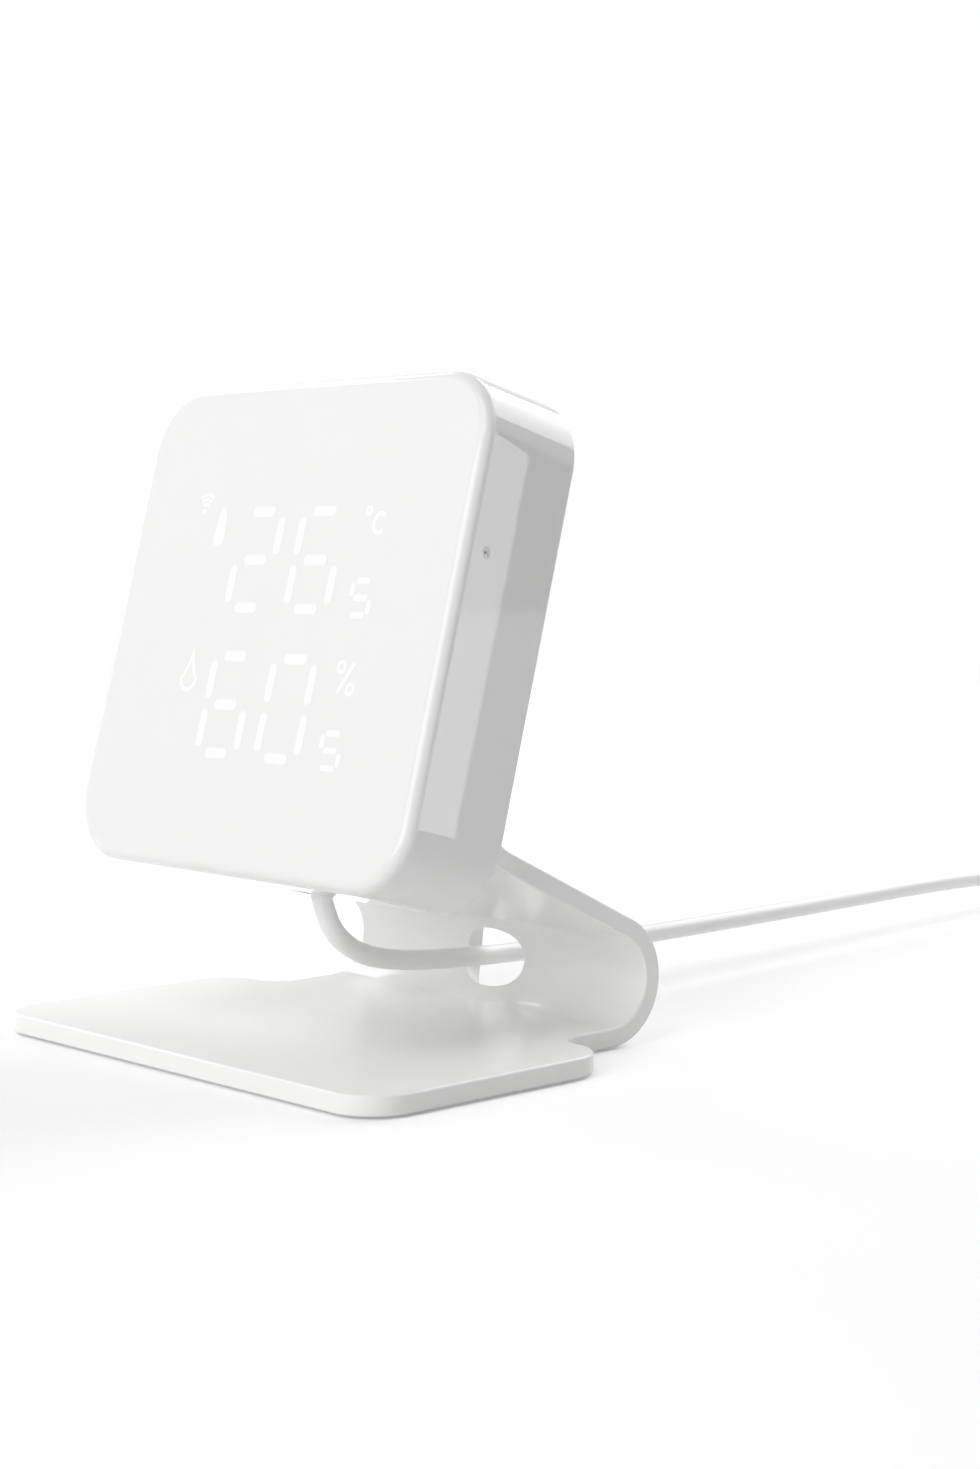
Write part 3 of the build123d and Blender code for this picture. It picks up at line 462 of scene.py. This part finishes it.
even_shading(head_shell, 33)
shell_colour, shell_gloss = (0.87, 0.87, 0.865), 0.03
shell_plastic = moulded("shell_white", shell_colour, shell_gloss, 0.004, 0.000001)
fit(head_shell, shell_plastic)
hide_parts("front_shell")

# the corner posts take the cover's screws, and the short bosses the board's


def ring_of(bm, place, radius, height):
    """A circle of edges on the head's own axes."""
    ring = bmesh.ops.create_circle(bm, segments=32, radius=radius)["verts"]
    bmesh.ops.translate(bm, vec=(*place, height), verts=ring)
    return list({e for v in ring for e in v.link_edges})


post_inset, cover_front, board_front = 0.0072, 0.016, 0.0064
post_x, post_y = head_width / 2 - post_inset, head_height / 2 - post_inset
post_places = [(x, y) for x in (-post_x, post_x) for y in (-post_y, post_y)]
board_post_places = [(x, y) for x in (-0.032, 0.032) for y in (-0.008, 0.022)]
post_sorts = [(post_places, 0.0030, cover_front), (board_post_places, 0.0022, board_front)]
bm = bmesh.new()
for places, radius, reach in post_sorts:
    for place in places:
        loops = [ring_of(bm, place, radius, -face_wall), ring_of(bm, place, radius, -reach),
                 ring_of(bm, place, 0.001, -reach), ring_of(bm, place, 0.001, -face_wall)]
        for loop, next_loop in zip(loops, loops[1:] + loops[:1]):
            bmesh.ops.bridge_loops(bm, edges=loop + next_loop)
bmesh.ops.recalc_face_normals(bm, faces=bm.faces)
bmesh.ops.transform(bm, matrix=head_place, verts=bm.verts)
posts = piece_from(bm, "shell_posts")
even_shading(posts, 40)
fit(posts, shell_plastic)

# ------------------------------------------------------------------ light box
# Behind the face lie a milky film, an opaque white frame with a cell for each bar, and one small lamp
# in each cell, which keep the light of one bar out of the next.
def dress(finish, *names):
    """Give parts that stay as they were cut their finish."""
    for name in names:
        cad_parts[name].data.materials.clear()
        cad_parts[name].data.materials.append(finish)


dress(moulded("light_box_white", (0.90, 0.90, 0.89), 0.55, 0.0004, 0.00001), "segment_frame")
dress(moulded("milky_film", (0.93, 0.93, 0.93), 0.42, 0.0008, 0.000004), "diffuser_film")
dress(moulded("lamp_package", (0.90, 0.86, 0.66), 0.35, 0.0003, 0.00001, 0.10), "led_chips")

# ------------------------------------------------------------------ lit display
# Seven-bar figures and small signs that shine through the face: the temperature above, the humidity
# below. Each is a bright patch in the thin wall with a soft rim, lit by its own lamp behind.
proud = 0.00002
bm = bmesh.new()
glow = bm.verts.layers.float.new("glow")


def lit_patch(place, long, wide, turn=0.0, taper=1.0):
    """A bright patch with round ends, whose rim fades into the face."""
    rim = min(0.0006, wide / 2)
    ring = bmesh.ops.create_circle(bm, cap_ends=True, segments=24, radius=(wide + rim) / 2)["verts"]
    bmesh.ops.rotate(bm, cent=(0, 0, 0), matrix=Matrix.Rotation(pi / 24, 3, "Z"), verts=ring)
    for side in (-1, 1):
        half = [v for v in ring if v.co.x * side > 0]
        bmesh.ops.translate(bm, vec=(side * (long - wide) / 2, 0, 0), verts=half)
        if side > 0:
            bmesh.ops.scale(bm, vec=(1, taper, 1), verts=half)
    bmesh.ops.rotate(bm, cent=(0, 0, 0), matrix=Matrix.Rotation(turn, 3, "Z"), verts=ring)
    bmesh.ops.translate(bm, vec=(*place, proud), verts=ring)
    face = ring[0].link_faces[0]
    bmesh.ops.inset_region(bm, faces=[face], thickness=rim, use_even_offset=True, use_boundary=True)
    for v in face.verts:
        v[glow] = 1.0


def lit_arc(place, radius, stroke, start, sweep, squeeze=1.0):
    """A bright curved stroke on the face."""
    ends = [bm.verts.new((radius + side * stroke / 2, 0, proud)) for side in (-1, 1)]
    edge = bm.edges.new(ends)
    bmesh.ops.rotate(bm, cent=(0, 0, 0), matrix=Matrix.Rotation(start, 3, "Z"), verts=ends)
    closed = abs(sweep) > 2 * pi - 0.01
    before = set(bm.verts) - set(ends)
    bmesh.ops.spin(bm, geom=[edge, *ends], cent=(0, 0, 0), axis=(0, 0, 1), angle=sweep,
                   steps=max(6, int(abs(sweep) * 6)), use_merge=closed)
    made = [v for v in bm.verts if v not in before]
    bmesh.ops.scale(bm, vec=(squeeze, 1.0, 1.0), verts=made)
    bmesh.ops.translate(bm, vec=(*place, 0), verts=made)
    for v in made:
        v[glow] = 0.9


lit_bars = {"0": "abcdef", "2": "abged", "5": "afgcd", "6": "afgecd"}
bar_turns = {"a": (0, 2), "g": (0, 0), "d": (0, -2), "b": (1, 1), "c": (1, -1), "f": (-1, 1), "e": (-1, -1)}


def figure(sign, place, half_width, half_height, flat, upright, stroke):
    """The lit bars of one seven-bar figure."""
    for bar in lit_bars[sign]:
        across, along = bar_turns[bar]
        at = (place[0] + across * half_width, place[1] + along * half_height / 2)
        lit_patch(at, upright if across else flat, stroke, pi / 2 if across else 0.0)


figure_rows = {0.00985: "26", -0.0127: "60"}
for row, signs in figure_rows.items():
    for column, sign in zip((-0.0069, 0.0077), signs):
        figure(sign, (column, row), 0.00475, 0.0075, 0.0052, 0.0058, 0.0015)
    figure("5", (0.0198, row - 0.0056), 0.00215, 0.00255, 0.0030, 0.0020, 0.0009)
# degree sign, C and per cent sign
lit_arc((0.0180, 0.0173), 0.00055, 0.00055, 0.0, 2 * pi)
lit_arc((0.0209, 0.0154), 0.00145, 0.00065, radians(50), radians(260), 0.95)
lit_arc((0.0187, -0.0060), 0.00075, 0.00055, 0.0, 2 * pi)
lit_arc((0.0215, -0.0092), 0.00075, 0.00055, 0.0, 2 * pi)
lit_patch((0.0201, -0.0076), 0.0054, 0.0006, radians(58))
# thermometer, drop and radio waves
lit_patch((-0.0172, 0.0151), 0.0062, 0.0026, pi / 2, 0.75)
rims = []
for drop_radius, drop_lift in ((0.0015, 0.0015), (0.0021, 0.0026)):
    ring = bmesh.ops.create_circle(bm, segments=32, radius=drop_radius)["verts"]
    for v in ring:
        lift = max(0.0, v.co.y / drop_radius)
        bmesh.ops.translate(bm, vec=(-0.7 * v.co.x * lift, drop_lift * lift ** 3, 0), verts=[v])
        v[glow] = 0.9
    bmesh.ops.translate(bm, vec=(-0.0176, -0.0090, proud), verts=ring)
    rims += {e for v in ring for e in v.link_edges}
bmesh.ops.bridge_loops(bm, edges=rims)
lit_patch((-0.0222, 0.0176), 0.0008, 0.0008)
for ring in (0.0011, 0.0019, 0.0027):
    lit_arc((-0.0222, 0.0176), ring, 0.00050, radians(52), radians(76))
bmesh.ops.recalc_face_normals(bm, faces=bm.faces)
for face in bm.faces:
    if face.normal.z < 0:
        face.normal_flip()
bmesh.ops.transform(bm, matrix=head_place, verts=bm.verts)
display = piece_from(bm, "lit_display")
deep = display.modifiers.new("depth", "SOLIDIFY")
deep.thickness = 0.0003
deep.offset = -1.0
shine = moulded("lit_face", shell_colour, shell_gloss, 0.004, 0.000001)
nodes, links = shine.node_tree.nodes, shine.node_tree.links
patch = nodes.new("ShaderNodeAttribute")
patch.attribute_name = "glow"
fade = nodes.new("ShaderNodeMapRange")
fade.interpolation_type = "SMOOTHSTEP"
fade.inputs["To Max"].default_value = 0.12
links.new(patch.outputs["Fac"], fade.inputs["Value"])
nodes["Principled BSDF"].inputs["Emission Color"].default_value = (1.0, 1.0, 1.0, 1.0)
links.new(fade.outputs["Result"], nodes["Principled BSDF"].inputs["Emission Strength"])
fit(display, shine)

# ------------------------------------------------------------------ main board
# A green glass-fibre board on four short bosses carries the lamps on its front, and on its back the
# radio board under its shield can, the lamp driver, and rows of small parts.
def bare_metal(name, colour, roughness, grain, stretch, depth):
    """Metal with fine marks that run one way, and gloss that varies along them."""
    finish = bpy.data.materials.new(name)
    finish.use_nodes = True
    nodes, links = finish.node_tree.nodes, finish.node_tree.links
    shader = nodes["Principled BSDF"]
    shader.inputs["Metallic"].default_value = 1.0
    shader.inputs["Base Color"].default_value = (*colour, 1.0)
    place = nodes.new("ShaderNodeTexCoord")
    drawn = nodes.new("ShaderNodeMapping")
    drawn.inputs["Scale"].default_value = stretch
    marks = nodes.new("ShaderNodeTexNoise")
    marks.inputs["Scale"].default_value = 1.0 / grain
    marks.inputs["Detail"].default_value = 4.0
    gloss = nodes.new("ShaderNodeMapRange")
    gloss.inputs["To Min"].default_value = roughness * 0.7
    gloss.inputs["To Max"].default_value = roughness * 1.3
    bump = nodes.new("ShaderNodeBump")
    bump.inputs["Strength"].default_value = 0.5
    bump.inputs["Distance"].default_value = depth
    links.new(place.outputs["Object"], drawn.inputs["Vector"])
    links.new(drawn.outputs["Vector"], marks.inputs["Vector"])
    links.new(marks.outputs["Fac"], gloss.inputs["Value"])
    links.new(gloss.outputs["Result"], shader.inputs["Roughness"])
    links.new(marks.outputs["Fac"], bump.inputs["Height"])
    links.new(bump.outputs["Normal"], shader.inputs["Normal"])
    return finish


solder_mask = bpy.data.materials.new("solder_mask")
solder_mask.use_nodes = True
nodes, links = solder_mask.node_tree.nodes, solder_mask.node_tree.links
shader = nodes["Principled BSDF"]
shader.inputs["Roughness"].default_value = 0.32
place = nodes.new("ShaderNodeTexCoord")
flat = nodes.new("ShaderNodeMapping")
flat.inputs["Rotation"].default_value = (lean - pi / 2, 0, 0)
tracks_under = nodes.new("ShaderNodeTexBrick")
tracks_under.inputs["Color1"].default_value = (0.020, 0.110, 0.050, 1.0)
tracks_under.inputs["Color2"].default_value = (0.026, 0.130, 0.060, 1.0)
tracks_under.inputs["Mortar"].default_value = (0.050, 0.210, 0.095, 1.0)
tracks_under.inputs["Scale"].default_value = 160.0
tracks_under.inputs["Mortar Size"].default_value = 0.035
raised = nodes.new("ShaderNodeBump")
raised.inputs["Strength"].default_value = 0.4
raised.inputs["Distance"].default_value = 0.00003
links.new(place.outputs["Object"], flat.inputs["Vector"])
links.new(flat.outputs["Vector"], tracks_under.inputs["Vector"])
links.new(tracks_under.outputs["Color"], shader.inputs["Base Color"])
links.new(tracks_under.outputs["Fac"], raised.inputs["Height"])
links.new(raised.outputs["Normal"], shader.inputs["Normal"])
dress(solder_mask, "main_pcb", "power_board", "radio_module")
dress(bare_metal("tinned_shield", (0.66, 0.66, 0.67), 0.30, 0.002, (1, 1, 6), 0.000004), "shield_can")
black_epoxy = moulded("black_epoxy", (0.035, 0.035, 0.038), 0.42, 0.0003, 0.000008, 0.15)
dress(black_epoxy, "led_driver", "humidity_sensor")
dress(moulded("ceramic_parts", (0.30, 0.24, 0.18), 0.38, 0.0003, 0.000006, 0.25), "pcb_components")
dress(bare_metal("gilt_pins", (0.78, 0.58, 0.24), 0.22, 0.0006, (1, 1, 1), 0.000002), "header_pins")

# ------------------------------------------------------------------ power socket and sensor
# The folded steel socket takes the lead's plug from below. The sensor sits behind the air slots in a
# collar of black foam that keeps the warmth of the board away from it.
folded_steel = bare_metal("folded_steel", (0.62, 0.62, 0.63), 0.28, 0.0015, (1, 5, 1), 0.000003)
dress(folded_steel, "power_socket")
dress(moulded("closed_foam", (0.045, 0.045, 0.047), 0.92, 0.0005, 0.00012, 0.30), "sensor_gasket")

# ------------------------------------------------------------------ reset button
# A push switch stands on the board behind the pinhole. Its black plunger is pressed with a pin and
# travels a quarter of a millimetre.
def copy_of(node, name, edge):
    """A merged copy of a part as it was cut or moulded, with its sharp edges broken a little."""
    bm = bmesh.new()
    bm.from_mesh(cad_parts[node].data)
    bmesh.ops.remove_doubles(bm, verts=bm.verts, dist=1e-6)
    bmesh.ops.dissolve_limit(bm, angle_limit=radians(0.4), verts=bm.verts, edges=bm.edges)
    piece = piece_from(bm, name)
    broken = piece.modifiers.new("broken_edges", "BEVEL")
    broken.width = edge
    broken.segments = 2
    broken.limit_method = "ANGLE"
    broken.angle_limit = radians(38)
    even_shading(piece, 38)
    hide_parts(node)
    return piece


button_black = moulded("button_black", (0.05, 0.05, 0.05), 0.35, 0.0003, 0.000006, 0.10)
plunger = copy_of("reset_plunger", "plunger", 0.00008)
fit(plunger, button_black, "reset_button")
dress(moulded("switch_case", (0.06, 0.06, 0.065), 0.45, 0.0003, 0.00001, 0.15), "reset_switch_body")

# ------------------------------------------------------------------ rear cover
# The flat back of the head, a satin white moulding let into the shell. It has air slots, a bay for the
# plug, sunk corners for its screws and two inserts for the stand.
cover = copy_of("rear_cover", "cover", 0.00015)
cover_plastic = moulded("cover_white", (0.88, 0.88, 0.872), 0.34, 0.0004, 0.00001)
fit(cover, cover_plastic)

# ------------------------------------------------------------------ screws and inserts
# Cross-head screws hold the cover and the board. Two countersunk socket screws go through the stand's
# tongue into knurled brass inserts that are melted into the cover.
plated_steel = bare_metal("plated_steel", (0.60, 0.60, 0.61), 0.26, 0.0010, (1, 1, 1), 0.000004)
screw_sorts = (("cover_screws", "corner_screws"), ("pcb_screws", "board_screws"),
               ("stand_screws", "tongue_screws"))
for node, name in screw_sorts:
    fit(copy_of(node, name, 0.00008), plated_steel)
knurl = bare_metal("knurled_brass", (0.72, 0.52, 0.24), 0.34, 0.0008, (6, 1, 1), 0.00004)
dress(knurl, "threaded_inserts")

# ------------------------------------------------------------------ lead's plug in the head
# The slim plug at the head's end lies in the cover's bay: a stamped steel shell in a soft white
# moulding, with a tapered relief whose ribs let the lead bend.
def ribbed_relief(name, length, thin, thick, groove, ribs, place):
    """A tapered relief turned round its axis, with grooves between its ribs."""
    bm = bmesh.new()
    outline = [(0.0, 0.0), (thin, 0.0)]
    for rib in range(ribs):
        for share, sunk in ((0.55, 0), (0.62, 1), (0.93, 1), (1.0, 0)):
            along = (rib + share) / ribs
            outline.append((thin + (thick - thin) * along - sunk * groove, length * along))
    outline.append((0.0, length))
    line = [bm.verts.new((radius, 0, height)) for radius, height in outline]
    edges = [bm.edges.new(pair) for pair in zip(line, line[1:])]
    bmesh.ops.spin(bm, geom=line + edges, cent=(0, 0, 0), axis=(0, 0, 1), angle=2 * pi, steps=40,
                   use_merge=True)
    bmesh.ops.remove_doubles(bm, verts=bm.verts, dist=1e-6)
    bmesh.ops.recalc_face_normals(bm, faces=bm.faces)
    bmesh.ops.transform(bm, matrix=place, verts=bm.verts)
    piece = piece_from(bm, name)
    even_shading(piece, 30)
    return piece


plug_plastic = moulded("plug_white", (0.90, 0.90, 0.895), 0.33, 0.0004, 0.00001)
slim_plug = copy_of("device_plug_body", "slim_plug", 0.0002)
fit(slim_plug, plug_plastic)
slim_shell = copy_of("device_plug_shell", "slim_plug_shell", 0.00008)
fit(slim_shell, folded_steel)
relief_tip, plug_depth = 0.0140, 0.0142
relief_end = Matrix.Translation((port_x, relief_tip - head_height / 2, -plug_depth))
relief_place = head_place @ relief_end @ Matrix.Rotation(-pi / 2, 4, "X")
slim_relief = ribbed_relief("slim_relief", 0.006, 0.0019, 0.0023, 0.00022, 4, relief_place)
fit(slim_relief, plug_plastic)
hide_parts("device_strain_relief")

# ------------------------------------------------------------------ lead's plug for the supply
# The flat plug at the far end: a folded steel shell with two latch windows round a white contact
# carrier, in a white moulding with finger grooves across both its faces and a ribbed relief.
tail_end = Vector((0.0272, 0.2060, 0.00405))
supply_relief = 0.008
flat_plug = copy_of("supply_plug_body", "flat_plug", 0.0003)
shown_shape(flat_plug)
bm = bmesh.new()
for side in (-1, 1):
    for step in range(5):
        bar = bmesh.ops.create_cone(bm, cap_ends=True, segments=24, radius1=0.0005, radius2=0.0005,
                                    depth=0.0090)["verts"]
        bmesh.ops.rotate(bm, cent=(0, 0, 0), matrix=Matrix.Rotation(pi / 2, 3, "Y"), verts=bar)
        across = tail_end - Vector((0, supply_relief + 0.006 + step * 0.0016, -side * 0.0041))
        bmesh.ops.translate(bm, vec=across, verts=bar)
bmesh.ops.recalc_face_normals(bm, faces=bm.faces)
cut(flat_plug, piece_from(bm, "finger_grooves"))
even_shading(flat_plug, 30)
fit(flat_plug, plug_plastic)
flat_shell = copy_of("supply_plug_shell", "flat_plug_shell", 0.00006)
fit(flat_shell, folded_steel)
carrier = copy_of("supply_plug_insert", "contact_carrier", 0.00010)
fit(carrier, moulded("carrier_white", (0.86, 0.86, 0.85), 0.40, 0.0004, 0.000006))
relief_place = Matrix.Translation(tail_end) @ Matrix.Rotation(pi / 2, 4, "X")
flat_relief = ribbed_relief("flat_relief", supply_relief, 0.0019, 0.0028, 0.00030, 5, relief_place)
fit(flat_relief, plug_plastic)
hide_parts("supply_strain_relief")

# ------------------------------------------------------------------ power lead
# A round two-core lead with a satin white sheath. It leaves the bay behind the head, drops in a loop,
# runs back through the hole in the curl, and its spare length is wound in a flat coil held by a strap.
cord_diameter = 0.0032
lead_points = [
    (0.0025, -0.006695, 0.038132),
    (0.0025, -0.008288, 0.032347),
    (0.0024, -0.0063, 0.0200),
    (0.0019, -0.0008, 0.0144),
    (0.0010, 0.0090, 0.0115),
    (0.0002, 0.0270, 0.0101),
    (-0.0022, 0.0580, 0.0087),
    (-0.0068, 0.1160, 0.0080),
    (-0.0125, 0.1750, 0.0076),
    (-0.0154, 0.2030, 0.0042),
    (-0.0167, 0.2170, 0.00165),
    (-0.0167, 0.2290, 0.00165),
]
coil_centre = Vector((0.0050, 0.2420, 0.0))
coil_steps = 16                      # points in one turn
coil_pitch = 0.0033                  # from one turn to the next
coil_inner = 0.0151
tie_lift = 0.0004
points_out = 1.0 / cos(pi / coil_steps)
# the first three turns lie on the table from the outside in, the rest on top of them from the inside out
tracks = [(2, 0), (1, 0), (0, 0), (0, 1), (1, 1), (2, 1)]
coil_points = []
for step in range(1, int(5.5 * coil_steps)):
    turn, part = divmod(step, coil_steps)
    angle = pi - 2 * pi * step / coil_steps
    shift = max(0.0, (part / coil_steps - 0.8) / 0.2)
    shift = shift * shift * (3 - 2 * shift)
    (ring, layer), (next_ring, next_layer) = tracks[turn], tracks[min(turn + 1, 5)]
    lane = ring + (next_ring - ring) * shift
    level = layer + (next_layer - layer) * shift
    dodge = -0.0014 * sin(pi * shift) if next_layer != layer else 0.0
    fan = 1.0 + 0.10 * max(0.0, -sin(angle)) - 0.05 * max(0.0, sin(angle))
    radius = (coil_inner + coil_pitch + (lane - 1) * coil_pitch * fan + dodge) * points_out
    height = cord_diameter / 2 + 0.00005 + level * coil_pitch + tie_lift * max(0.0, sin(angle)) ** 6
    coil_points.append(coil_centre + Vector((radius * cos(angle), radius * sin(angle), height)))
tail_points = [
    (0.0267, 0.2420, 0.00495),
    (0.0267, 0.2290, 0.00485),
    (0.0267, 0.2215, 0.00485),
    (0.0272, 0.2135, 0.00405),
    (0.0272, 0.2060, 0.00405),
]
route = lead_points + [(-0.0167, 0.2420, 0.00165)] + coil_points + tail_points
line = bpy.data.curves.new("power_lead", "CURVE")
line.dimensions = "3D"
line.bevel_depth = cord_diameter / 2
line.bevel_resolution = 8
line.resolution_u = 12
line.use_fill_caps = True
spline = line.splines.new("NURBS")
spline.points.add(len(route) - 1)
for knot, place in zip(spline.points, route):
    knot.co = (*place, 1.0)
spline.order_u = 3
spline.use_endpoint_u = True
spline.use_smooth = True
power_lead = object_from(line, "power_lead")
sheath = moulded("lead_sheath", (0.95, 0.95, 0.945), 0.30, 0.0005, 0.00001)
shader = sheath.node_tree.nodes["Principled BSDF"]
shader.inputs["Subsurface Weight"].default_value = 1.0
shader.inputs["Subsurface Radius"].default_value = (1.0, 1.0, 1.0)
shader.inputs["Subsurface Scale"].default_value = 0.0015
fit(power_lead, sheath)
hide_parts("cord_lead", "cord_coil", "cord_tail")

# the strap goes once round the bundle
strap_width, strap_thickness = 0.006, 0.0004
bm = bmesh.new()
corners = [(y, z) for y, z in ((-0.0051, 0.00003), (0.0051, 0.00003), (0.0051, 0.0074), (-0.0051, 0.0074))]
middle = coil_centre.y + 0.0183
face = bm.faces.new([bm.verts.new((coil_centre.x - strap_width / 2, middle + y, z)) for y, z in corners])
bmesh.ops.bevel(bm, geom=list(bm.verts), offset=0.0016, affect="VERTICES", segments=10,
                profile=0.5, material=-1)
face = max(bm.faces, key=lambda f: f.calc_area())
bmesh.ops.inset_region(bm, faces=[face], thickness=strap_thickness, use_even_offset=True, use_boundary=True)
bmesh.ops.delete(bm, geom=[max(bm.faces, key=lambda f: f.calc_area())], context="FACES")
grown = bmesh.ops.extrude_face_region(bm, geom=list(bm.faces))["geom"]
bmesh.ops.translate(bm, vec=(strap_width, 0, 0), verts=points_of(grown))
bmesh.ops.recalc_face_normals(bm, faces=bm.faces)
strap = piece_from(bm, "strap")
even_shading(strap, 40)
fit(strap, moulded("strap_white", (0.88, 0.88, 0.87), 0.70, 0.0003, 0.00006, 0.06))
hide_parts("cord_tie")
